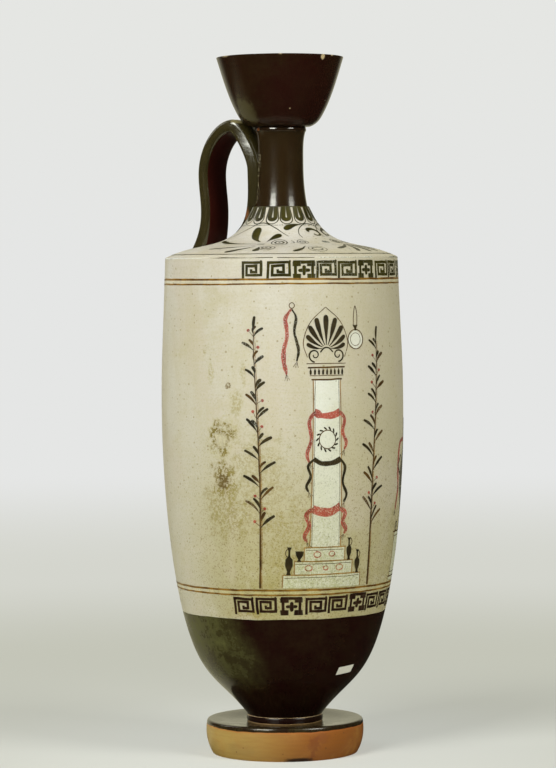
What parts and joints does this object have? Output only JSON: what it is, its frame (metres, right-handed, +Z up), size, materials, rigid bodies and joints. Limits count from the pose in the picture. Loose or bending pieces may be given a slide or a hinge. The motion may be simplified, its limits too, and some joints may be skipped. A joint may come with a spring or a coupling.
{
  "type": "lekythos",
  "caption": "Tall cylinder-bodied oil flask with a narrow neck, deep cup mouth, vertical strap handle and disc foot, white-ground wall and black-glazed neck and base.",
  "frame": {"origin": "on the vase's axis, at the plane it rests on", "axes": "+Z up along the vase's axis, +Y towards the handle, so the painted front faces -Y"},
  "size_m": [0.1324, 0.1324, 0.38],
  "materials": {
    "black_glaze": "glossy black-brown slip glaze with an olive sheen",
    "white_ground": "matt cream slip with painted bands and line ornament",
    "reserved_clay": "satin orange clay left bare, black on top"
  },
  "bodies": {
    "root": {"foot": "reserved_clay", "fillet": "black_glaze", "body": "white_ground", "shoulder": "white_ground", "neck": "black_glaze", "mouth": "black_glaze", "handle": "black_glaze"}
  },
  "joints": []
}
